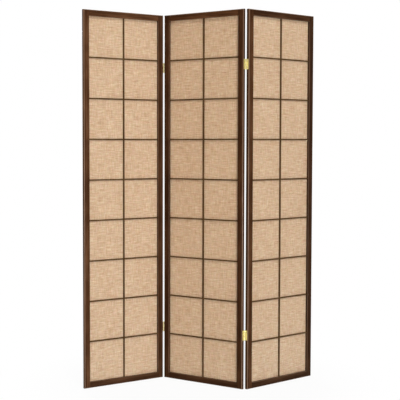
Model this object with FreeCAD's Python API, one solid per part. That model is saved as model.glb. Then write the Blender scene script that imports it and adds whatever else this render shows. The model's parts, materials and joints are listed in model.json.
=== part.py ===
import FreeCAD, Part
import math
import os
from collections import namedtuple

from FreeCAD import Placement, Rotation, Vector

# A folding screen: three wooden panels on two vertical hinge lines. All sizes are in millimetres.
# Each panel is drawn flat first, with X across it, Y from its front face to its back, and Z up.

# Panel frame
PANEL_WIDTH = 438.0
PANEL_HEIGHT = 1784.0
FRAME_THICKNESS = 19.0
STILE_WIDTH = 29.0
RAIL_HEIGHT = 29.0
EDGE_RADIUS = 4.0  # round along the outside of the frame
OPENING_EASE = 1.0  # small chamfer along the front of the opening

# Mortise and tenon at each corner of a frame
MORTISE_WALL = 8.0  # wood left between a mortise and the outer edge
MORTISE_END_ROOM = 1.0  # glue room past the end of a tenon
MORTISE_CLEARANCE = 0.1
TENON_THICKNESS = 6.0
TENON_SHOULDER = 4.0

# Lattice of thin bars, half lapped where they cross and housed in the frame at their ends
CROSSBAR_COUNT = 8
BAR_WIDTH = 6.0
BAR_DEPTH = 7.0
BAR_CHAMFER = 0.6
BAR_CLEARANCE = 0.05
LATTICE_RECESS = 5.5  # from the front of the frame to the front of the bars
HOUSING_DEPTH = 6.0
HOUSING_END_ROOM = 0.5

# Cloth behind the lattice, and the stop beads that hold it in a rebate
REBATE_WIDTH = 8.0
CLOTH_THICKNESS = 0.8
CLOTH_EDGE_ROOM = 0.5
BEAD_CHAMFER = 1.5

# Butt hinges, with their leaves let in flush with the edges of the stiles
HINGE_HEIGHT = 48.0
HINGE_REACH = 16.0  # from the middle of the pin to the free edge of a leaf
HINGE_INSET = 255.0  # from the end of a panel to the middle of its hinge
PIN_STANDOFF = 1.0  # from the face that a panel folds on to, to the middle of the pin
LEAF_THICKNESS = 1.5
LEAF_RELIEF = 0.4  # between a leaf and the knuckles of the other leaf
RECESS_CLEARANCE = 0.1  # round a leaf in the edge of its stile
KNUCKLE_COUNT = 3
KNUCKLE_GAP = 0.3
PIN_RADIUS = 1.75
PIN_CLEARANCE = 0.05
HOLE_RADIUS = 1.6  # screw hole through a leaf
HOLE_MARGIN = 10.0  # from the end of a leaf to the middle of a hole

# Stance: the direction of the middle panel, and how far the others are folded from in line with it
MIDDLE_HEADING = -36.9
LEFT_FOLD = 65.3
RIGHT_FOLD = 71.8

# Sizes that follow from the ones above
LIP_DEPTH = LATTICE_RECESS + BAR_DEPTH
BEAD_FRONT = LIP_DEPTH + CLOTH_THICKNESS
LAP_DEPTH = LATTICE_RECESS + BAR_DEPTH / 2
TENON_FRONT = (LIP_DEPTH - TENON_THICKNESS) / 2
BAR_REACH = HOUSING_DEPTH - HOUSING_END_ROOM
CROSSBAR_PITCH = (PANEL_HEIGHT - 2 * RAIL_HEIGHT) / (CROSSBAR_COUNT + 1)
CROSSBAR_HEIGHTS = [RAIL_HEIGHT + CROSSBAR_PITCH * (step + 1) for step in range(CROSSBAR_COUNT)]
BORE_RADIUS = PIN_RADIUS + PIN_CLEARANCE
KNUCKLE_RADIUS = BORE_RADIUS + LEAF_THICKNESS
KNUCKLE_LENGTH = (HINGE_HEIGHT - (KNUCKLE_COUNT - 1) * KNUCKLE_GAP) / KNUCKLE_COUNT
LEAF_START = KNUCKLE_RADIUS + LEAF_RELIEF
HOLE_HEIGHTS = [HOLE_MARGIN, HINGE_HEIGHT - HOLE_MARGIN]
HINGE_LEVELS = {"lower": HINGE_INSET, "upper": PANEL_HEIGHT - HINGE_INSET}

# Where a hinge line stands on a flat panel, with the leaves flush with the edges of the stiles.
# Hinges that fold backwards are turned half round.
HingeLine = namedtuple("HingeLine", "x y turn")
LEFT_EDGE = -BORE_RADIUS
RIGHT_EDGE = PANEL_WIDTH + BORE_RADIUS
BEFORE_FRONT = -PIN_STANDOFF
BEHIND_BACK = FRAME_THICKNESS + PIN_STANDOFF
LEFT_FRONT = HingeLine(LEFT_EDGE, BEFORE_FRONT, 0)
RIGHT_FRONT = HingeLine(RIGHT_EDGE, BEFORE_FRONT, 0)
LEFT_BACK = HingeLine(LEFT_EDGE, BEHIND_BACK, 180)
RIGHT_BACK = HingeLine(RIGHT_EDGE, BEHIND_BACK, 180)


def block(x0, x1, y0, y1, z0, z1):
    """Rectangular block between two corners."""
    return Part.makeBox(x1 - x0, y1 - y0, z1 - z0, Vector(x0, y0, z0))


def edges_at(solid, *middles):
    """Edges of a solid whose middles are at the given points."""
    snap = 0.01
    return [edge for edge in solid.Edges if any(edge.CenterOfMass.isEqual(m, snap) for m in middles)]


def profile(corners, radii):
    """Face inside a right-angled outline, with each corner rounded by its own radius."""
    into = [(corner - corners[i - 1]).normalize() for i, corner in enumerate(corners)]
    out = into[1:] + into[:1]
    starts = [corner - step * radius for corner, step, radius in zip(corners, into, radii)]
    ends = [corner + step * radius for corner, step, radius in zip(corners, out, radii)]
    edges = []
    for i, radius in enumerate(radii):
        edges.append(Part.LineSegment(ends[i - 1], starts[i]).toShape())
        if radius:
            centre = corners[i] + (out[i] - into[i]) * radius
            middle = centre + (into[i] - out[i]) * (radius / math.sqrt(2))
            edges.append(Part.Arc(starts[i], middle, ends[i]).toShape())
    return Part.Face(Part.Wire(edges))


def turned_over(shape):
    """Copy turned half round the middle of the panel, so that left becomes right and low becomes high."""
    copy = shape.copy()
    copy.rotate(Vector(PANEL_WIDTH / 2, 0, PANEL_HEIGHT / 2), Vector(0, 1, 0), 180)
    return copy


def left_stile():
    """Full-height side of a frame, rounded outside, with the rebate, mortises and housings inside."""
    across = profile(
        [
            Vector(0, 0, 0),
            Vector(STILE_WIDTH, 0, 0),
            Vector(STILE_WIDTH, FRAME_THICKNESS, 0),
            Vector(0, FRAME_THICKNESS, 0),
        ],
        [EDGE_RADIUS, 0, 0, EDGE_RADIUS],
    )
    along = profile(
        [
            Vector(0, 0, 0),
            Vector(0, FRAME_THICKNESS, 0),
            Vector(0, FRAME_THICKNESS, PANEL_HEIGHT),
            Vector(0, 0, PANEL_HEIGHT),
        ],
        [EDGE_RADIUS] * 4,
    )
    blank = across.extrude(Vector(0, 0, PANEL_HEIGHT))
    arris = Vector(STILE_WIDTH, 0, PANEL_HEIGHT / 2)
    blank = blank.makeChamfer(OPENING_EASE, edges_at(blank, arris))
    blank = blank.common(along.extrude(Vector(STILE_WIDTH, 0, 0)))

    rebate_low = RAIL_HEIGHT - REBATE_WIDTH
    rebate = block(
        STILE_WIDTH - REBATE_WIDTH, STILE_WIDTH,
        LIP_DEPTH, FRAME_THICKNESS,
        rebate_low, PANEL_HEIGHT - rebate_low,
    )
    mortise_front = TENON_FRONT - MORTISE_CLEARANCE
    mortise_back = TENON_FRONT + TENON_THICKNESS + MORTISE_CLEARANCE
    mortise_low = TENON_SHOULDER - MORTISE_CLEARANCE
    mortise_high = RAIL_HEIGHT - TENON_SHOULDER + MORTISE_CLEARANCE
    mortises = [
        block(MORTISE_WALL, STILE_WIDTH, mortise_front, mortise_back, low, high)
        for low, high in (
            (mortise_low, mortise_high),
            (PANEL_HEIGHT - mortise_high, PANEL_HEIGHT - mortise_low),
        )
    ]
    half_slot = BAR_WIDTH / 2 + BAR_CLEARANCE
    housings = [
        block(
            STILE_WIDTH - HOUSING_DEPTH, STILE_WIDTH,
            LATTICE_RECESS, LIP_DEPTH,
            height - half_slot, height + half_slot,
        )
        for height in CROSSBAR_HEIGHTS
    ]
    return blank.cut([rebate] + mortises + housings)


def bottom_rail():
    """Cross member between the stiles, with a tenon on each end and a housing for the upright bar."""
    section = profile(
        [
            Vector(STILE_WIDTH, 0, 0),
            Vector(STILE_WIDTH, FRAME_THICKNESS, 0),
            Vector(STILE_WIDTH, FRAME_THICKNESS, RAIL_HEIGHT),
            Vector(STILE_WIDTH, 0, RAIL_HEIGHT),
        ],
        [EDGE_RADIUS, EDGE_RADIUS, 0, 0],
    )
    body = section.extrude(Vector(PANEL_WIDTH - 2 * STILE_WIDTH, 0, 0))
    arris = Vector(PANEL_WIDTH / 2, 0, RAIL_HEIGHT)
    body = body.makeChamfer(OPENING_EASE, edges_at(body, arris))

    tenon_end = MORTISE_WALL + MORTISE_END_ROOM
    tongue = block(
        tenon_end, PANEL_WIDTH - tenon_end,
        TENON_FRONT, TENON_FRONT + TENON_THICKNESS,
        TENON_SHOULDER, RAIL_HEIGHT - TENON_SHOULDER,
    )
    rebate = block(
        STILE_WIDTH, PANEL_WIDTH - STILE_WIDTH,
        LIP_DEPTH, FRAME_THICKNESS,
        RAIL_HEIGHT - REBATE_WIDTH, RAIL_HEIGHT,
    )
    half_slot = BAR_WIDTH / 2 + BAR_CLEARANCE
    housing = block(
        PANEL_WIDTH / 2 - half_slot, PANEL_WIDTH / 2 + half_slot,
        LATTICE_RECESS, LIP_DEPTH,
        RAIL_HEIGHT - HOUSING_DEPTH, RAIL_HEIGHT,
    )
    return body.fuse(tongue).cut([rebate, housing]).removeSplitter()


def upright_bar():
    """Middle bar of the lattice, notched from behind at every crossbar."""
    left = (PANEL_WIDTH - BAR_WIDTH) / 2
    right = left + BAR_WIDTH
    low = RAIL_HEIGHT - BAR_REACH
    bar = block(left, right, LATTICE_RECESS, LIP_DEPTH, low, PANEL_HEIGHT - low)
    arrises = [Vector(x, LATTICE_RECESS, PANEL_HEIGHT / 2) for x in (left, right)]
    bar = bar.makeChamfer(BAR_CHAMFER, edges_at(bar, *arrises))
    half_slot = BAR_WIDTH / 2 + BAR_CLEARANCE
    laps = [
        block(left, right, LAP_DEPTH, LIP_DEPTH, height - half_slot, height + half_slot)
        for height in CROSSBAR_HEIGHTS
    ]
    return bar.cut(laps)


def crossbar(height):
    """Bar across the opening, notched from the front where the upright passes it."""
    left = STILE_WIDTH - BAR_REACH
    low = height - BAR_WIDTH / 2
    high = height + BAR_WIDTH / 2
    bar = block(left, PANEL_WIDTH - left, LATTICE_RECESS, LIP_DEPTH, low, high)
    arrises = [Vector(PANEL_WIDTH / 2, LATTICE_RECESS, z) for z in (low, high)]
    bar = bar.makeChamfer(BAR_CHAMFER, edges_at(bar, *arrises))
    half_slot = BAR_WIDTH / 2 + BAR_CLEARANCE
    lap = block(
        PANEL_WIDTH / 2 - half_slot, PANEL_WIDTH / 2 + half_slot,
        LATTICE_RECESS, LAP_DEPTH,
        low, high,
    )
    return bar.cut(lap)


def cloth():
    """Sheet of cloth, stretched flat over the back of the lattice and the floor of the rebate."""
    left = STILE_WIDTH - REBATE_WIDTH + CLOTH_EDGE_ROOM
    low = RAIL_HEIGHT - REBATE_WIDTH + CLOTH_EDGE_ROOM
    return block(left, PANEL_WIDTH - left, LIP_DEPTH, BEAD_FRONT, low, PANEL_HEIGHT - low)


def stop_beads():
    """Four strips that press the cloth into the rebate: long ones at the sides, short ones between them."""
    low = RAIL_HEIGHT - REBATE_WIDTH
    side = block(
        STILE_WIDTH - REBATE_WIDTH, STILE_WIDTH,
        BEAD_FRONT, FRAME_THICKNESS,
        low, PANEL_HEIGHT - low,
    )
    arris = Vector(STILE_WIDTH, FRAME_THICKNESS, PANEL_HEIGHT / 2)
    side = side.makeChamfer(BEAD_CHAMFER, edges_at(side, arris))
    end = block(STILE_WIDTH, PANEL_WIDTH - STILE_WIDTH, BEAD_FRONT, FRAME_THICKNESS, low, RAIL_HEIGHT)
    arris = Vector(PANEL_WIDTH / 2, FRAME_THICKNESS, RAIL_HEIGHT)
    end = end.makeChamfer(BEAD_CHAMFER, edges_at(end, arris))
    return Part.makeCompound([side, end, turned_over(side), turned_over(end)])


def on_line(shape, line, level):
    """Copy of a hinge piece, moved from the hinge's own frame to a hinge line of a panel."""
    copy = shape.copy()
    copy.rotate(Vector(0, 0, 0), Vector(0, 0, 1), line.turn)
    copy.translate(Vector(line.x, line.y, HINGE_LEVELS[level] - HINGE_HEIGHT / 2))
    return copy


def hinge_leaf(side, first_knuckle):
    """Leaf rolled round the pin, with every second knuckle. It lies on the plus or minus X side."""
    outside = side * KNUCKLE_RADIUS
    inside = side * BORE_RADIUS
    roll_end = math.sqrt(KNUCKLE_RADIUS**2 - BORE_RADIUS**2)
    rolled = Part.Wire([
        Part.LineSegment(Vector(outside, HINGE_REACH, 0), Vector(outside, 0, 0)).toShape(),
        Part.Arc(
            Vector(outside, 0, 0), Vector(0, -KNUCKLE_RADIUS, 0), Vector(-outside, 0, 0)
        ).toShape(),
        Part.Arc(
            Vector(-outside, 0, 0), Vector(0, KNUCKLE_RADIUS, 0), Vector(inside, roll_end, 0)
        ).toShape(),
        Part.LineSegment(Vector(inside, roll_end, 0), Vector(inside, HINGE_REACH, 0)).toShape(),
        Part.LineSegment(Vector(inside, HINGE_REACH, 0), Vector(outside, HINGE_REACH, 0)).toShape(),
    ])
    bore = Part.Wire([Part.Circle(Vector(0, 0, 0), Vector(0, 0, 1), BORE_RADIUS).toShape()])
    knuckle = Part.Face([rolled, bore], "Part::FaceMakerBullseye").extrude(Vector(0, 0, KNUCKLE_LENGTH))

    leaf = block(min(inside, outside), max(inside, outside), LEAF_START, HINGE_REACH, 0, HINGE_HEIGHT)
    for step in range(first_knuckle, KNUCKLE_COUNT, 2):
        leaf = leaf.fuse(knuckle.translated(Vector(0, 0, step * (KNUCKLE_LENGTH + KNUCKLE_GAP))))
    middle = (LEAF_START + HINGE_REACH) / 2
    holes = [
        Part.makeCylinder(HOLE_RADIUS, LEAF_THICKNESS, Vector(inside, middle, height), Vector(side, 0, 0))
        for height in HOLE_HEIGHTS
    ]
    return leaf.removeSplitter().cut(holes)


def leaf_recess(side):
    """Space that a leaf on the plus or minus X side takes up in the edge of its stile."""
    faces = sorted((side * BORE_RADIUS, side * KNUCKLE_RADIUS))
    return block(
        *faces,
        0, HINGE_REACH + RECESS_CLEARANCE,
        -RECESS_CLEARANCE, HINGE_HEIGHT + RECESS_CLEARANCE,
    )


def panel(name, side, lines):
    """Pieces of one panel in its flat frame, by node name. Its hinge leaves lie on the given X side."""
    recesses = [on_line(leaf_recess(side), line, level) for line in lines for level in HINGE_LEVELS]
    stile = left_stile()
    rail = bottom_rail()
    pieces = {
        "left_stile": stile.cut(recesses),
        "right_stile": turned_over(stile).cut(recesses),
        "bottom_rail": rail,
        "top_rail": turned_over(rail),
        "upright_bar": upright_bar(),
        "cloth": cloth(),
        "stop_beads": stop_beads(),
    }
    for number, height in enumerate(CROSSBAR_HEIGHTS, start=1):
        pieces[f"crossbar_{number}"] = crossbar(height)
    return {f"{name}_panel_{piece}": shape for piece, shape in pieces.items()}


def hinges(shape, ending, lines):
    """Copies of a hinge piece at both levels of the named hinge lines, by node name."""
    return {
        f"{name}_{level}_hinge_{ending}": on_line(shape, line, level)
        for name, line in lines.items()
        for level in HINGE_LEVELS
    }


def stand(heading, line, pin):
    """Placement of a flat panel that faces along a heading and has a hinge line at a given pin."""
    turn = Rotation(Vector(0, 0, 1), heading)
    return Placement(pin - turn.multVec(Vector(line.x, line.y, 0)), turn)


# The middle panel carries the pins, and the leaves with the end knuckles on its plus X side.
MIDDLE_SIDE = 1
OUTER_SIDE = -1
middle_lines = {"left": LEFT_FRONT, "right": RIGHT_BACK}
middle_leaf = hinge_leaf(MIDDLE_SIDE, first_knuckle=0)
outer_leaf = hinge_leaf(OUTER_SIDE, first_knuckle=1)
hinge_pin = Part.makeCylinder(PIN_RADIUS, HINGE_HEIGHT)

left_pieces = panel("left", OUTER_SIDE, [RIGHT_FRONT])
left_pieces.update(hinges(outer_leaf, "outer_leaf", {"left": RIGHT_FRONT}))
middle_pieces = panel("middle", MIDDLE_SIDE, middle_lines.values())
middle_pieces.update(hinges(middle_leaf, "middle_leaf", middle_lines))
middle_pieces.update(hinges(hinge_pin, "pin", middle_lines))
right_pieces = panel("right", OUTER_SIDE, [LEFT_BACK])
right_pieces.update(hinges(outer_leaf, "outer_leaf", {"right": LEFT_BACK}))

# Stand the panels in a zigzag: the middle one by its heading, the others on its pins.
middle_stand = Placement(Vector(0, 0, 0), Rotation(Vector(0, 0, 1), MIDDLE_HEADING))
left_pin = middle_stand.multVec(Vector(LEFT_FRONT.x, LEFT_FRONT.y, 0))
right_pin = middle_stand.multVec(Vector(RIGHT_BACK.x, RIGHT_BACK.y, 0))
left_stand = stand(MIDDLE_HEADING + LEFT_FOLD, RIGHT_FRONT, left_pin)
right_stand = stand(MIDDLE_HEADING + RIGHT_FOLD, LEFT_BACK, right_pin)

nodes = {}
for pieces, place in ((left_pieces, left_stand), (middle_pieces, middle_stand), (right_pieces, right_stand)):
    for name, shape in pieces.items():
        nodes[name] = shape
        nodes[name].Placement = place.multiply(shape.Placement)

# The origin is on the floor, in the middle of the screen's footprint.
footprint = Part.makeCompound(list(nodes.values())).optimalBoundingBox(False, False)
to_origin = Vector(-footprint.Center.x, -footprint.Center.y, -footprint.ZMin)
left_pin = left_pin + to_origin
right_pin = right_pin + to_origin

os.makedirs("parts", exist_ok=True)
for name, shape in nodes.items():
    shape.translate(to_origin)
    shape.exportStep(f"parts/{name}.step")
print(f"{len(nodes)} nodes, left pin at {left_pin.x:.3f}, {left_pin.y:.3f}")
print(f"right pin at {right_pin.x:.3f}, {right_pin.y:.3f}")
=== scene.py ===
import bpy
import json
import math
import random
from collections import namedtuple
from mathutils import Matrix, Vector, noise


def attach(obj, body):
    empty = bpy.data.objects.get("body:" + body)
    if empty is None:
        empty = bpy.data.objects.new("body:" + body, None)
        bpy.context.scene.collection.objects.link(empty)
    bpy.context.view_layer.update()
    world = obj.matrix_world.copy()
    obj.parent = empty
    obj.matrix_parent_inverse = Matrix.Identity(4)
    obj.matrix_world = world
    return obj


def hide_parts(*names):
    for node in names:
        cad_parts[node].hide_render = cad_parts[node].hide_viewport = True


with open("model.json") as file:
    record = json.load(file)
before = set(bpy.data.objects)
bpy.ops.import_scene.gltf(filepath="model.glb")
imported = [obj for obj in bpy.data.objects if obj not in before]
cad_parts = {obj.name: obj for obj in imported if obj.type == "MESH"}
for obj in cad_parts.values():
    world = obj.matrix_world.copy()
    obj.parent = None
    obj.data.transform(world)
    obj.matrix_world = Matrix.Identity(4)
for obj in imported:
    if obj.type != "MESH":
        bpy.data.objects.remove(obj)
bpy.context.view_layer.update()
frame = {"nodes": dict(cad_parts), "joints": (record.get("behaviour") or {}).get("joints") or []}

# Sizes of the screen in metres, the same as in the CAD model
MM = 0.001
PANEL_WIDTH = 438 * MM
PANEL_HEIGHT = 1784 * MM
FRAME_THICKNESS = 19 * MM
FRAME_WIDTH = 29 * MM  # stiles and rails
CROSSBAR_COUNT = 8
BAR_WIDTH = 6 * MM
LIP_DEPTH = 12.5 * MM  # from the front of a frame to its cloth
REBATE_WIDTH = 8 * MM
CLOTH_THICKNESS = 0.8 * MM
CLOTH_EDGE_ROOM = 0.5 * MM
EDGE_RADIUS = 4 * MM
HINGE_HEIGHT = 48 * MM
HINGE_INSET = 255 * MM
BORE_RADIUS = 1.8 * MM  # also from the middle of a pin to the edge of a stile
PIN_STANDOFF = 1 * MM  # from the middle of a pin to the face of a frame
HOLE_REACH = 9.85 * MM  # from the middle of a pin to a screw
HOLE_MARGIN = 10 * MM

# Sizes of the pieces that are modelled here
CLOTH_COLUMNS = 58
CLOTH_ROWS = 252
CLOTH_PLAY_REACH = 40 * MM  # from a bar to where the cloth has all its play
CLOTH_SAG = 0.35 * MM
CLOTH_RIPPLE = 0.9 * MM
SCREW_SIDES = 32
SCREW_HEAD_RADIUS = 2.9 * MM
SCREW_HEAD_RINGS = ((0.35, 1.0), (0.35, 0.93), (0.25, 0.80), (0.12, 0.70))  # rise in mm, share of width
SCREW_SHANK_RADIUS = 1.5 * MM
SCREW_SHANK_LENGTH = 9 * MM
SCREW_POINT_LENGTH = 4 * MM
SCREW_POINT_SHARE = 0.12
DRIVE_WIDTH = 0.6 * MM
DRIVE_ARM = 1.2 * MM
DRIVE_DEPTH = 1.0 * MM
DRIVE_LEVEL = 1.0 * MM  # middle of the drive above the face under the head
DRIVE_TAPER = 0.55
TACK_SIDES = 12
TACK_RADIUS = 0.9 * MM
TACK_RIM_HEIGHT = 0.12 * MM
TACK_RIM_WIDTH = 0.3 * MM
TACK_CROWN_RISE = 0.08 * MM
TACKS_UP_A_SIDE = 8
TACK_END_MARGIN = 70 * MM
TACK_SIDE_MARGIN = 90 * MM
TACK_STRAY_UP = 4 * MM
TACK_STRAY_ACROSS = 2 * MM

# How each panel stands: its heading in degrees, and the joint whose pin is at a known place on the flat panel
Panel = namedtuple("Panel", "heading joint pin_x pin_y")
BEFORE_FRONT = -PIN_STANDOFF
BEHIND_BACK = FRAME_THICKNESS + PIN_STANDOFF
PANELS = {
    "left": Panel(28.4, "left_fold", PANEL_WIDTH + BORE_RADIUS, BEFORE_FRONT),
    "middle": Panel(-36.9, "left_fold", -BORE_RADIUS, BEFORE_FRONT),
    "right": Panel(34.9, "right_fold", -BORE_RADIUS, BEHIND_BACK),
}
pins = {joint["name"]: Vector(joint["pos_m"]) for joint in frame["joints"]}


def stand(panel):
    """Matrix that takes a flat panel, with X across it, Y to its back and Z up, to its place."""
    how = PANELS[panel]
    turn = Matrix.Rotation(math.radians(how.heading), 4, "Z")
    pin = pins[how.joint].xy.to_3d()
    return Matrix.Translation(pin - turn @ Vector((how.pin_x, how.pin_y, 0))) @ turn


# Finishes


class Nodes:
    """Node tree of a material or of the world, with short calls for the nodes that they share."""

    def __init__(self, owner):
        owner.use_nodes = True
        self.tree = owner.node_tree

    def set(self, socket, source):
        """Link a node's output to a socket, or write a constant on it."""
        if isinstance(source, bpy.types.NodeSocket):
            self.tree.links.new(source, socket)
        else:
            socket.default_value = source

    def shade(self, **inputs):
        """Set inputs of a material's shader, with underscores for the spaces in their names."""
        sockets = self.tree.nodes["Principled BSDF"].inputs
        for name, source in inputs.items():
            self.set(sockets[name.replace("_", " ").title().replace("Ior", "IOR")], source)

    def add(self, kind, inputs, **settings):
        node = self.tree.nodes.new(kind)
        for name, setting in settings.items():
            setattr(node, name, setting)
        for name, source in inputs.items():
            self.set(node.inputs[name], source)
        return node

    def math(self, operation, a, b=0.0):
        return self.add("ShaderNodeMath", {0: a, 1: b}, operation=operation).outputs[0]

    def vary(self, value, pattern, amount):
        """Move a value up and down by an amount of a noise pattern."""
        swing = self.math("MULTIPLY", self.math("SUBTRACT", pattern, 0.5), amount)
        return self.math("ADD", value, swing)

    def noise(self, vector, scale, detail=2.0, roughness=0.5, distortion=0.0):
        inputs = {"Vector": vector, "Scale": scale, "Detail": detail}
        inputs |= {"Roughness": roughness, "Distortion": distortion}
        return self.add("ShaderNodeTexNoise", inputs).outputs[0]

    def blend(self, factor, a, b, how="MIX"):
        """Mix two colours."""
        node = self.add("ShaderNodeMix", {}, data_type="RGBA", blend_type=how)
        for index, source in ((0, factor), (6, a), (7, b)):
            self.set(node.inputs[index], source)
        return node.outputs[2]

    def fade(self, value, low, high, to_low=0.0, to_high=1.0):
        """Smooth step of a value between two limits."""
        inputs = {"Value": value, "From Min": low, "From Max": high, "To Min": to_low, "To Max": to_high}
        return self.add("ShaderNodeMapRange", inputs, interpolation_type="SMOOTHSTEP").outputs[0]

    def ramp(self, factor, stops):
        node = self.add("ShaderNodeValToRGB", {"Fac": factor})
        elements = node.color_ramp.elements
        while len(elements) < len(stops):
            elements.new(1.0)
        for element, (position, colour) in zip(elements, stops):
            element.position = position
            element.color = (*colour, 1.0)
        return node.outputs[0]

    def place(self, vector, location=(0, 0, 0), rotation=(0, 0, 0), scale=(1, 1, 1)):
        inputs = {"Vector": vector, "Location": location, "Rotation": rotation, "Scale": scale}
        return self.add("ShaderNodeMapping", inputs).outputs[0]

    def coordinates(self, kind):
        return self.add("ShaderNodeTexCoord", {}).outputs[kind]

    def on_panel(self, panel):
        """Object coordinates turned to lie on a flat panel, in metres from its lower left front corner."""
        back = stand(panel).inverted()
        return self.place(self.coordinates("Object"), back.to_translation(), back.to_euler())

    def split(self, vector):
        return self.add("ShaderNodeSeparateXYZ", {"Vector": vector}).outputs

    def bump(self, height, strength, distance):
        inputs = {"Height": height, "Strength": strength, "Distance": distance}
        return self.add("ShaderNodeBump", inputs).outputs[0]


# Stained wood. The frame's tones are cast by panel and lightened or darkened by board: partly the wood's own
# tone, partly painted light and shade
GRAIN_STRETCH = 0.035
PORE_STRETCH = 0.014
ALONG_X = (GRAIN_STRETCH, 1, 1)
ALONG_Z = (1, 1, GRAIN_STRETCH)
PORES_ALONG_X = (PORE_STRETCH, 1, 1)
PORES_ALONG_Z = (1, 1, PORE_STRETCH)
HAIR = 0.01 * MM  # takes in faces that lie just on the end of a rail
# Width of the rubbed stain and painted highlight round the opening
WEAR_AND_HIGHLIGHT_ROUND_OPENING = 1.5 * MM
PLANED_DEPTH = 0.3 * MM
PORE_COLOUR = (0.018, 0.0065, 0.003, 1.0)
# Lighter colour of the rubbed stain and of the painted highlight on rounded edges
RUBBED_AND_HIGHLIGHT_COLOUR = (0.300, 0.165, 0.090, 1.0)
FRAME_TONES = [
    (0.28, (0.026, 0.0088, 0.0028)),
    (0.50, (0.056, 0.0215, 0.0078)),
    (0.72, (0.108, 0.0465, 0.0200)),
]
LATTICE_TONES = [
    (0.28, (0.062, 0.0325, 0.0125)),
    (0.50, (0.097, 0.0525, 0.0212)),
    (0.72, (0.144, 0.0825, 0.0375)),
]
# Per-panel casts and per-board factors: partly the wood's own tone, partly painted light and shade, such as
# the left panel painted lighter, the middle darker, and bottom rails darker
STAIN_AND_PAINTED_LIGHT = {"left": (1.14, 1.18, 1.28), "middle": (0.92, 0.87, 0.82), "right": (0.95, 0.95, 0.95)}
BOARD_TONE_AND_PAINTED_LIGHT = {
    "left": {"left_stile": 1.35, "right_stile": 1.0, "top_rail": 1.3, "bottom_rail": 0.9},
    "middle": {"left_stile": 0.95, "right_stile": 1.0, "top_rail": 1.4, "bottom_rail": 0.85},
    "right": {"left_stile": 1.3, "right_stile": 0.75, "top_rail": 0.9, "bottom_rail": 0.8},
}


def folded(f, value, length):
    """Distance of a coordinate from the nearer end of a length."""
    return f.math("MINIMUM", value, f.math("SUBTRACT", length, value))


# Mask of rubbed stain and painted highlight along an edge
def edge_wear_and_highlight(f, across, depth, radius):
    """One along an edge where two distances reach zero, falling to zero about a radius from it."""
    reach = f.math("SQRT", f.math("ADD", f.math("POWER", across, 2.0), f.math("POWER", depth, 2.0)))
    return f.fade(reach, 0.45 * radius, 1.05 * radius, to_low=1.0, to_high=0.0)


def frame_tones(panel, shade=1.0):
    """Tones of a board of a frame, from its panel's cast and its board's factor: partly the stain's own tone,
    partly painted light and shade.
    """
    return [(at, [shade * a * b for a, b in zip(colour, STAIN_AND_PAINTED_LIGHT[panel])]) for at, colour in FRAME_TONES]


def stained_wood(name, panel, tones, grain_way=None):
    """Dark stained wood with grain along each member, thin pores, and round edges lighter: partly stain taken
    off by rubbing, partly a painted highlight.
    """
    wood = bpy.data.materials.new(name)
    f = Nodes(wood)
    flat = f.on_panel(panel)
    x, y, z = f.split(flat)
    side = folded(f, x, PANEL_WIDTH)
    end = folded(f, z, PANEL_HEIGHT)
    face = folded(f, y, FRAME_THICKNESS)

    # The grain follows the rails between the stiles, and the stiles everywhere else
    if grain_way is None:
        near_end = f.math("LESS_THAN", end, FRAME_WIDTH)
        between_stiles = f.math("GREATER_THAN", side, FRAME_WIDTH - HAIR)
        in_rail = f.math("MULTIPLY", near_end, between_stiles)
        grain = f.blend(in_rail, f.place(flat, scale=ALONG_Z), f.place(flat, scale=ALONG_X))
        pore_way = f.blend(in_rail, f.place(flat, scale=PORES_ALONG_Z), f.place(flat, scale=PORES_ALONG_X))
    else:
        grain = f.place(flat, scale=ALONG_X if grain_way == "x" else ALONG_Z)
        pore_way = f.place(flat, scale=PORES_ALONG_X if grain_way == "x" else PORES_ALONG_Z)

    figure = f.noise(grain, scale=120.0, detail=3.0, roughness=0.55, distortion=0.6)
    fibre = f.noise(grain, scale=520.0, detail=3.0, roughness=0.6)
    pores = f.fade(f.noise(pore_way, scale=1500.0, roughness=0.6), 0.58, 0.72)
    streak = f.noise(grain, scale=48.0)
    patch = f.noise(flat, scale=8.0)
    depth = f.math("ADD", f.math("MULTIPLY", figure, 0.62), f.math("MULTIPLY", fibre, 0.38))
    depth = f.vary(depth, streak, 0.45)
    depth = f.vary(depth, patch, 0.45)
    colour = f.ramp(depth, tones)
    colour = f.blend(f.math("MULTIPLY", pores, 0.55), colour, PORE_COLOUR)

    # Rubbed stain and painted highlight: lighter colour on the outer rounds of the frame, and on the small
    # chamfers round its opening
    rubbed_and_highlight = f.math("MAXIMUM", edge_wear_and_highlight(f, side, face, EDGE_RADIUS), edge_wear_and_highlight(f, end, face, EDGE_RADIUS))
    inside = f.math("SUBTRACT", f.math("MINIMUM", side, end), FRAME_WIDTH)
    opening_wear_and_highlight = edge_wear_and_highlight(f, inside, y, WEAR_AND_HIGHLIGHT_ROUND_OPENING)
    worn_and_highlight = f.math("MAXIMUM", rubbed_and_highlight, f.math("MULTIPLY", opening_wear_and_highlight, 0.7))
    patchy = f.noise(grain, scale=60.0, detail=3.0, roughness=0.6)
    worn_and_highlight = f.math("MULTIPLY", worn_and_highlight, f.fade(patchy, 0.30, 0.62, to_low=0.55, to_high=1.0))
    colour = f.blend(f.math("MULTIPLY", worn_and_highlight, 0.75), colour, RUBBED_AND_HIGHLIGHT_COLOUR)

    # Gloss: on the rubbed places that also carry the painted highlight, and less on the planed faces inside
    # the opening
    planed = f.math("LESS_THAN", f.math("ABSOLUTE", inside), PLANED_DEPTH)
    gloss = f.math("MAXIMUM", f.math("MULTIPLY", worn_and_highlight, 0.9), f.math("MULTIPLY", planed, 0.6))
    height = f.math("SUBTRACT", f.math("MULTIPLY", fibre, 0.5), pores)
    f.shade(
        base_color=colour,
        roughness=f.fade(depth, 0.3, 0.7, to_low=0.58, to_high=0.46),
        specular_ior_level=0.04,
        coat_weight=gloss,
        coat_roughness=0.24,
        normal=f.bump(height, strength=0.35, distance=0.12 * MM),
    )
    return wood


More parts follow.
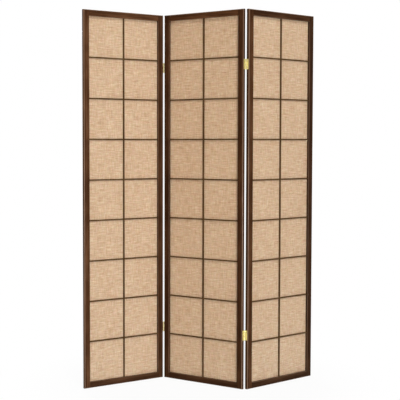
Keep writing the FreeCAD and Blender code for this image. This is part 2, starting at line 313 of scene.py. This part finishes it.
def polished_brass(name, base, dull):
    """Polished metal, drawn along Z, with faint tarnish."""
    brass = bpy.data.materials.new(name)
    f = Nodes(brass)
    here = f.coordinates("Object")
    drawn = f.noise(f.place(here, scale=(1, 1, 0.05)), scale=4200.0)
    tarnish = f.fade(f.noise(here, scale=130.0, detail=3.0, roughness=0.6), 0.42, 0.70)
    scratched = f.fade(drawn, 0.3, 0.7, to_low=0.20, to_high=0.32)
    f.shade(
        base_color=f.blend(f.math("MULTIPLY", tarnish, 0.45), base, dull),
        metallic=1.0,
        roughness=f.math("ADD", scratched, f.math("MULTIPLY", tarnish, 0.12)),
        normal=f.bump(drawn, strength=0.12, distance=0.03 * MM),
    )
    return brass


# Cloth. Slubs are counted by the metre, along and across a yarn
WARP_PITCH = 1.25 * MM
WEFT_PITCH = 1.40 * MM
SLUBS_ALONG = 20.0
SLUBS_ACROSS = 270.0
# Darkness here covers dark yarn and the painted shade between yarns
GREEN_DEPTH = 1.6  # how much faster than red a colour sinks in dark yarn
BLUE_DEPTH = 1.95
CLOTH_COLOUR = (0.680, 0.473, 0.304)
# Per-panel casts on the cloth colour: painted light and shade, with the middle and right panels painted
# darker
CLOTH_PAINTED_LIGHT = {
    "left": (1.0, 1.0, 1.0),
    "middle": (0.985, 0.950, 0.910),
    "right": (0.960, 0.950, 0.940),
}


def slub_cloth(panel, shift):
    """Plain-woven tan cloth of uneven yarn. Its map is in metres across and up the sheet."""
    cloth = bpy.data.materials.new(f"{panel}_slub_cloth")
    f = Nodes(cloth)
    flat = f.place(f.coordinates("UV"), location=(shift, shift * 0.7, 0.0))
    u, v, _ = f.split(flat)

    # Over and under: warp yarns run up the sheet, weft yarns across it
    warp_wave = f.math("SINE", f.math("MULTIPLY", u, math.pi / WARP_PITCH))
    weft_wave = f.math("SINE", f.math("MULTIPLY", v, math.pi / WEFT_PITCH))
    warp_round = f.math("ABSOLUTE", warp_wave)
    weft_round = f.math("ABSOLUTE", weft_wave)
    on_top = f.fade(f.math("MULTIPLY", warp_wave, weft_wave), -0.35, 0.35)
    yarn = f.math(
        "ADD",
        f.math("MULTIPLY", warp_round, on_top),
        f.math("MULTIPLY", weft_round, f.math("SUBTRACT", 1.0, on_top)),
    )

    # Thick and thin places, a few centimetres long, mostly in the weft. A yarn has one shade across its width
    along_weft = f.add("ShaderNodeCombineXYZ", {0: u, 1: f.math("SNAP", v, WEFT_PITCH)}).outputs[0]
    along_warp = f.add("ShaderNodeCombineXYZ", {0: f.math("SNAP", u, WARP_PITCH), 1: v}).outputs[0]
    weft_place = f.place(along_weft, scale=(SLUBS_ALONG, SLUBS_ACROSS, 1.0))
    warp_place = f.place(along_warp, location=(9.0, 3.0, 0.0), scale=(SLUBS_ACROSS, SLUBS_ALONG, 1.0))
    weft_slub = f.noise(weft_place, scale=1.0, detail=3.0, roughness=0.65)
    warp_slub = f.noise(warp_place, scale=1.0, detail=3.0, roughness=0.65)
    weft_share = f.fade(on_top, 0.0, 1.0, to_low=1.3, to_high=0.7)
    warp_share = f.fade(on_top, 0.0, 1.0, to_low=0.52, to_high=0.92)
    slub = f.vary(f.vary(0.0, weft_slub, weft_share), warp_slub, warp_share)
    tone_and_weave_shade = f.math("ADD", 1.0, f.math("MULTIPLY", slub, 0.88))
    tone_and_weave_shade = f.vary(tone_and_weave_shade, f.noise(flat, scale=7.0), 0.10)
    # Painted shade: darker in the hollows between yarns
    tone_and_weave_shade = f.math("MULTIPLY", tone_and_weave_shade, f.fade(yarn, 0.0, 0.6, to_low=0.82, to_high=1.03))

    # Darker places are warmer, both dark yarn and the painted shade between yarns, and the dye is redder in
    # some weft and yellower in some warp
    redder = f.noise(f.place(along_weft, scale=(30.0, 85.0, 1.0)), scale=1.0, detail=3.0, roughness=0.6)
    redder = f.fade(redder, 0.34, 0.66, to_low=0.052, to_high=-0.052)
    yellower = f.noise(f.place(along_warp, scale=(90.0, 26.0, 1.0)), scale=1.0, detail=3.0, roughness=0.6)
    yellower = f.fade(yellower, 0.34, 0.66, to_low=0.045, to_high=-0.045)
    green = f.math("MULTIPLY", f.math("POWER", tone_and_weave_shade, GREEN_DEPTH), f.math("ADD", 1.0, redder))
    blue_dye = f.math("ADD", f.math("ADD", 1.0, f.math("MULTIPLY", redder, 0.76)), yellower)
    blue = f.math("MULTIPLY", f.math("POWER", tone_and_weave_shade, BLUE_DEPTH), blue_dye)
    tint = f.add("ShaderNodeCombineColor", {0: tone_and_weave_shade, 1: green, 2: blue}).outputs[0]
    # The cloth colour with its panel's painted light and shade
    plain_with_painted_light = [a * b for a, b in zip(CLOTH_COLOUR, CLOTH_PAINTED_LIGHT[panel])]
    height = f.math("ADD", yarn, f.math("MULTIPLY", slub, 1.6))
    f.shade(
        base_color=f.blend(1.0, (*plain_with_painted_light, 1.0), tint, "MULTIPLY"),
        roughness=0.92,
        specular_ior_level=0.12,
        sheen_weight=0.12,
        sheen_roughness=0.45,
        normal=f.bump(height, strength=0.55, distance=0.25 * MM),
    )
    return cloth


# Modelling


def start(name):
    """Name and return the mesh object that an operator has just added."""
    piece = bpy.context.object
    piece.name = name
    piece.data.name = name
    return piece


def only(piece):
    bpy.ops.object.select_all(action="DESELECT")
    piece.select_set(True)
    bpy.context.view_layer.objects.active = piece


def pick(piece, test):
    """Go to edit mode with just the faces selected whose normals pass a test."""
    only(piece)
    bpy.ops.object.mode_set(mode="EDIT")
    bpy.ops.mesh.select_mode(type="FACE")
    bpy.ops.mesh.select_all(action="DESELECT")
    bpy.ops.object.mode_set(mode="OBJECT")
    for face in piece.data.polygons:
        face.select = test(face.normal)
    bpy.ops.object.mode_set(mode="EDIT")


def any_way(normal):
    return True


def downwards(normal):
    return normal.z < -0.9


def sideways(normal):
    return abs(normal.z) < 0.1


def done():
    bpy.ops.object.mode_set(mode="OBJECT")


def extrude_up(distance):
    bpy.ops.mesh.extrude_region_move(TRANSFORM_OT_translate={"value": (0, 0, distance)})


def narrow(share):
    bpy.ops.transform.resize(value=(share, share, 1.0))


def use(piece, kind, **settings):
    """Add a modifier and apply it."""
    only(piece)
    modifier = piece.modifiers.new(kind.lower(), kind)
    for name, setting in settings.items():
        setattr(modifier, name, setting)
    bpy.ops.object.modifier_apply(modifier=modifier.name)


def settle(piece, matrix):
    """Put a piece in its place, and keep the place in its mesh."""
    only(piece)
    piece.matrix_world = matrix
    bpy.ops.object.transform_apply(location=True, rotation=True, scale=True)


def copies(pattern, name, places):
    """One piece made of copies of a pattern, each at its own matrix."""
    made = []
    for matrix in places:
        copy = pattern.copy()
        copy.data = pattern.data.copy()
        bpy.context.scene.collection.objects.link(copy)
        settle(copy, matrix)
        made.append(copy)
    bpy.ops.object.select_all(action="DESELECT")
    for copy in made:
        copy.select_set(True)
    bpy.context.view_layer.objects.active = made[0]
    bpy.ops.object.join()
    return start(name)


def cloth_sheet(panel, finish):
    """Cloth pulled over the back of a lattice. It gives a little between the bars."""
    edge = FRAME_WIDTH - REBATE_WIDTH + CLOTH_EDGE_ROOM
    width = PANEL_WIDTH - 2 * edge
    height = PANEL_HEIGHT - 2 * edge
    bpy.ops.object.select_all(action="DESELECT")
    bpy.ops.mesh.primitive_grid_add(x_subdivisions=CLOTH_COLUMNS, y_subdivisions=CLOTH_ROWS, size=1.0)
    sheet = start(f"{panel}_panel_woven_cloth")
    middle = LIP_DEPTH + CLOTH_THICKNESS / 2
    pitch = (PANEL_HEIGHT - 2 * FRAME_WIDTH) / (CROSSBAR_COUNT + 1)
    seed = {"left": 0.0, "middle": 5.0, "right": 11.0}[panel]
    for layer in sheet.data.uv_layers[0].data:
        layer.uv = (layer.uv.x * width, layer.uv.y * height)
    for vertex in sheet.data.vertices:
        x = edge + (vertex.co.x + 0.5) * width
        z = edge + (vertex.co.y + 0.5) * height
        # Play grows from nothing at the frame and the bars to its most in the middle of each cell
        from_side = min(x, PANEL_WIDTH - x) - FRAME_WIDTH
        from_end = min(z, PANEL_HEIGHT - z) - FRAME_WIDTH
        from_upright = abs(x - PANEL_WIDTH / 2) - BAR_WIDTH / 2
        from_crossbar = abs((z - FRAME_WIDTH + pitch / 2) % pitch - pitch / 2) - BAR_WIDTH / 2
        room = max(0.0, min(from_side, from_end, from_upright, from_crossbar))
        play = min(1.0, room / CLOTH_PLAY_REACH)
        wave = noise.noise(Vector((x * 9.0, z * 6.0, seed)))
        vertex.co = (x, middle + play * (CLOTH_SAG + CLOTH_RIPPLE * wave), z)
    use(sheet, "SOLIDIFY", thickness=CLOTH_THICKNESS, offset=0.0)
    settle(sheet, stand(panel))
    bpy.ops.object.shade_smooth_by_angle(angle=math.radians(40))
    sheet.data.materials.append(finish)
    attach(sheet, f"{panel}_panel")
    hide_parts(f"{panel}_panel_cloth")


def hinge_screw():
    """Round-headed wood screw with a cross drive, pointing down. The face under its head is at the origin."""
    bpy.ops.object.select_all(action="DESELECT")
    bpy.ops.mesh.primitive_circle_add(vertices=SCREW_SIDES, radius=SCREW_HEAD_RADIUS, fill_type="NGON")
    screw = start("hinge_screw")
    pick(screw, any_way)
    for rise, share in SCREW_HEAD_RINGS:
        extrude_up(rise * MM)
        narrow(share)
    done()
    pick(screw, any_way)
    bpy.ops.mesh.region_to_loop()
    bpy.ops.mesh.edge_face_add()
    bpy.ops.mesh.normals_make_consistent(inside=False)
    done()
    pick(screw, downwards)
    bpy.ops.mesh.inset(thickness=SCREW_HEAD_RADIUS - SCREW_SHANK_RADIUS)
    extrude_up(-SCREW_SHANK_LENGTH)
    extrude_up(-SCREW_POINT_LENGTH)
    narrow(SCREW_POINT_SHARE)
    done()

    bpy.ops.object.select_all(action="DESELECT")
    bpy.ops.mesh.primitive_cube_add(size=1.0)
    cutter = start("drive_cutter")
    size = Matrix.Diagonal((DRIVE_WIDTH, DRIVE_WIDTH, DRIVE_DEPTH, 1.0))
    settle(cutter, Matrix.Translation((0, 0, DRIVE_LEVEL)) @ size)
    pick(cutter, sideways)
    bpy.ops.mesh.extrude_faces_move(
        MESH_OT_extrude_faces_indiv={}, TRANSFORM_OT_shrink_fatten={"value": DRIVE_ARM}
    )
    done()
    pick(cutter, downwards)
    narrow(DRIVE_TAPER)
    done()
    use(screw, "BOOLEAN", object=cutter, operation="DIFFERENCE", solver="EXACT")
    bpy.data.objects.remove(cutter)
    only(screw)
    bpy.ops.object.shade_smooth_by_angle(angle=math.radians(30))
    return screw


def screw_places(panel, face_x, outwards, depth_y):
    """Matrices of the four screws on one edge of a panel, with their heads on the faces of the leaves."""
    turn = Matrix.Rotation(math.radians(90) * outwards, 4, "Y")
    made = []
    for level in (HINGE_INSET, PANEL_HEIGHT - HINGE_INSET):
        for offset in (HOLE_MARGIN - HINGE_HEIGHT / 2, HINGE_HEIGHT / 2 - HOLE_MARGIN):
            spin = Matrix.Rotation(random.uniform(0, math.pi), 4, "Z")
            at = Vector((face_x, depth_y, level + offset))
            made.append(stand(panel) @ Matrix.Translation(at) @ turn @ spin)
    return made


def bead_tack():
    """Low round head of the small nails that hold the stop beads, facing up."""
    bpy.ops.object.select_all(action="DESELECT")
    bpy.ops.mesh.primitive_circle_add(vertices=TACK_SIDES, radius=TACK_RADIUS, fill_type="NGON")
    tack = start("bead_tack")
    pick(tack, any_way)
    extrude_up(TACK_RIM_HEIGHT)
    bpy.ops.mesh.inset(thickness=TACK_RIM_WIDTH)
    bpy.ops.transform.translate(value=(0, 0, TACK_CROWN_RISE))
    bpy.ops.mesh.select_all(action="SELECT")
    bpy.ops.mesh.normals_make_consistent(inside=False)
    done()
    only(tack)
    bpy.ops.object.shade_smooth_by_angle(angle=math.radians(50))
    return tack


def tack_places(panel):
    """Matrices of the nail heads along the four beads at the back of a panel."""
    inset = FRAME_WIDTH - REBATE_WIDTH / 2
    turn = Matrix.Rotation(math.radians(-90), 4, "X")
    step = (PANEL_HEIGHT - 2 * TACK_END_MARGIN) / (TACKS_UP_A_SIDE - 1)
    spots = []
    for count in range(TACKS_UP_A_SIDE):
        for x in (inset, PANEL_WIDTH - inset):
            spots.append((x, TACK_END_MARGIN + count * step + random.uniform(-1, 1) * TACK_STRAY_UP))
    for x in (TACK_SIDE_MARGIN, PANEL_WIDTH / 2, PANEL_WIDTH - TACK_SIDE_MARGIN):
        for z in (inset, PANEL_HEIGHT - inset):
            spots.append((x + random.uniform(-1, 1) * TACK_STRAY_ACROSS, z))
    return [stand(panel) @ Matrix.Translation((x, FRAME_THICKNESS, z)) @ turn for x, z in spots]


random.seed(4)

# Finishes of the CAD pieces
hinge_brass = polished_brass("hinge_brass", base=(0.84, 0.755, 0.42, 1.0), dull=(0.66, 0.565, 0.28, 1.0))
screw_brass = polished_brass("screw_brass", base=(0.70, 0.61, 0.33, 1.0), dull=(0.50, 0.41, 0.20, 1.0))
tack_steel = polished_brass("tack_steel", base=(0.33, 0.31, 0.29, 1.0), dull=(0.16, 0.13, 0.11, 1.0))
finishes = {}
# Each board's material carries its panel's and its own painted light and shade, along with its tone
for panel, boards_tone_and_light in BOARD_TONE_AND_PAINTED_LIGHT.items():
    for board, shade in boards_tone_and_light.items():
        finishes[panel, board] = stained_wood(f"{panel}_{board}_walnut", panel, frame_tones(panel, shade))
    finishes[panel, "beads"] = stained_wood(f"{panel}_beads_walnut", panel, frame_tones(panel))
    finishes[panel, "upright"] = stained_wood(f"{panel}_upright_walnut", panel, LATTICE_TONES, "z")
    finishes[panel, "crossbar"] = stained_wood(f"{panel}_crossbar_walnut", panel, LATTICE_TONES, "x")
for name, piece in frame["nodes"].items():
    panel = name.split("_")[0]
    member = name.removeprefix(f"{panel}_panel_")
    if "hinge" in name:
        finish = hinge_brass
    elif "crossbar" in name:
        finish = finishes[panel, "crossbar"]
    elif "upright" in name:
        finish = finishes[panel, "upright"]
    else:
        finish = finishes.get((panel, member), finishes[panel, "beads"])
    piece.data.materials.clear()
    piece.data.materials.append(finish)

# Cloth
for shift, panel in enumerate(PANELS):
    cloth_sheet(panel, slub_cloth(panel, shift * 1.37))

# Screws in the hinge leaves, and tacks in the stop beads
screw = hinge_screw()
FROM_FRONT = BEFORE_FRONT + HOLE_REACH
FROM_BACK = BEHIND_BACK - HOLE_REACH
screws = {
    "left": screw_places("left", PANEL_WIDTH, 1, FROM_FRONT),
    "middle": screw_places("middle", 0.0, -1, FROM_FRONT) + screw_places("middle", PANEL_WIDTH, 1, FROM_BACK),
    "right": screw_places("right", 0.0, -1, FROM_BACK),
}
tack = bead_tack()
for panel, places in screws.items():
    piece = copies(screw, f"{panel}_panel_hinge_screws", places)
    piece.data.materials.append(screw_brass)
    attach(piece, f"{panel}_panel")
    piece = copies(tack, f"{panel}_panel_bead_tacks", tack_places(panel))
    piece.data.materials.append(tack_steel)
    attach(piece, f"{panel}_panel")
for pattern in (screw, tack):
    bpy.data.objects.remove(pattern)

# Floor: white to the camera, with a trace of shadow, and glowing with a cool light close to the screen's feet
# that stands in for bounced light
FLOOR_SIZE = 40.0
WHITE_AT_FEET = 0.94
FLOOR_GLOW_STRENGTH = 0.34
FLOOR_GLOW_COLOUR = (0.25, 0.62, 1.0, 1.0)
bpy.ops.object.select_all(action="DESELECT")
bpy.ops.mesh.primitive_plane_add(size=FLOOR_SIZE)
floor = start("floor")
paper = bpy.data.materials.new("white_floor")
f = Nodes(paper)
rays = f.add("ShaderNodeLightPath", {}).outputs
reflected = f.math("MAXIMUM", rays["Is Glossy Ray"], rays["Is Transmission Ray"])
seen = f.math("MAXIMUM", rays["Is Camera Ray"], reflected)
away = f.add("ShaderNodeVectorMath", {0: f.coordinates("Object")}, operation="LENGTH").outputs["Value"]
glow = f.math("MULTIPLY", rays["Is Diffuse Ray"], f.fade(away, 0.6, 1.4, to_low=FLOOR_GLOW_STRENGTH, to_high=0.0))
f.shade(
    base_color=(0.92, 0.92, 0.92, 1.0),
    roughness=0.9,
    specular_ior_level=0.0,
    emission_color=FLOOR_GLOW_COLOUR,
    emission_strength=glow,
)
white = f.add("ShaderNodeEmission", {"Color": (1, 1, 1, 1), "Strength": 1.0}).outputs[0]
share = f.math("MULTIPLY", seen, f.fade(away, 0.4, 1.0, to_low=WHITE_AT_FEET, to_high=1.0))
mixed = f.add("ShaderNodeMixShader", {0: share, 1: f.tree.nodes["Principled BSDF"].outputs[0], 2: white})
f.set(f.tree.nodes["Material Output"].inputs["Surface"], mixed.outputs[0])
floor.data.materials.append(paper)

# World: white where it is seen, softer in reflections and as light
AMBIENT = 0.32
IN_REFLECTIONS = 0.85
world = bpy.data.worlds.new("studio")
bpy.context.scene.world = world
f = Nodes(world)
rays = f.add("ShaderNodeLightPath", {}).outputs
seen = f.math("MAXIMUM", rays["Is Camera Ray"], rays["Is Transmission Ray"])
level = f.math("MAXIMUM", seen, f.math("MULTIPLY", rays["Is Glossy Ray"], IN_REFLECTIONS))
sky = f.tree.nodes["Background"].inputs
f.set(sky["Color"], (1, 1, 1, 1))
f.set(sky["Strength"], f.math("MAXIMUM", level, AMBIENT))


def softbox(name, azimuth, elevation, distance, size, watts):
    """Square lamp that faces the middle of the screen. Azimuth goes round to the right from the front."""
    a, e = math.radians(azimuth), math.radians(elevation)
    away = Vector((math.sin(a) * math.cos(e), -math.cos(a) * math.cos(e), math.sin(e)))
    data = bpy.data.lights.new(name, "AREA")
    data.energy = watts
    data.size = size
    lamp = bpy.data.objects.new(name, data)
    lamp.location = Vector((0, 0, PANEL_HEIGHT / 2)) + away * distance
    lamp.rotation_euler = away.to_track_quat("Z", "Y").to_euler()
    bpy.context.scene.collection.objects.link(lamp)


softbox("high_key", azimuth=14.0, elevation=42.0, distance=20.0, size=4.0, watts=1540.0)
softbox("front_key", azimuth=8.0, elevation=-7.0, distance=5.5, size=1.0, watts=111.0)
softbox("back_fill", azimuth=190.0, elevation=20.0, distance=8.0, size=2.4, watts=270.0)

# Camera, a little to the left of the screen and tilted down
CAMERA_TILT = 2.874
CAMERA_TURN = 3.253
camera_data = bpy.data.cameras.new("camera")
camera_data.sensor_width = 36.0
camera_data.lens = 86.214
camera_data.shift_x = 0.12
camera_data.shift_y = -0.02
camera = bpy.data.objects.new("camera", camera_data)
camera.location = (-0.4955, -4.5771, 1.1583)
camera.rotation_euler = (math.radians(90 - CAMERA_TILT), 0, math.radians(-CAMERA_TURN))
bpy.context.scene.collection.objects.link(camera)
bpy.context.scene.camera = camera
bpy.context.scene.view_settings.view_transform = "Standard"
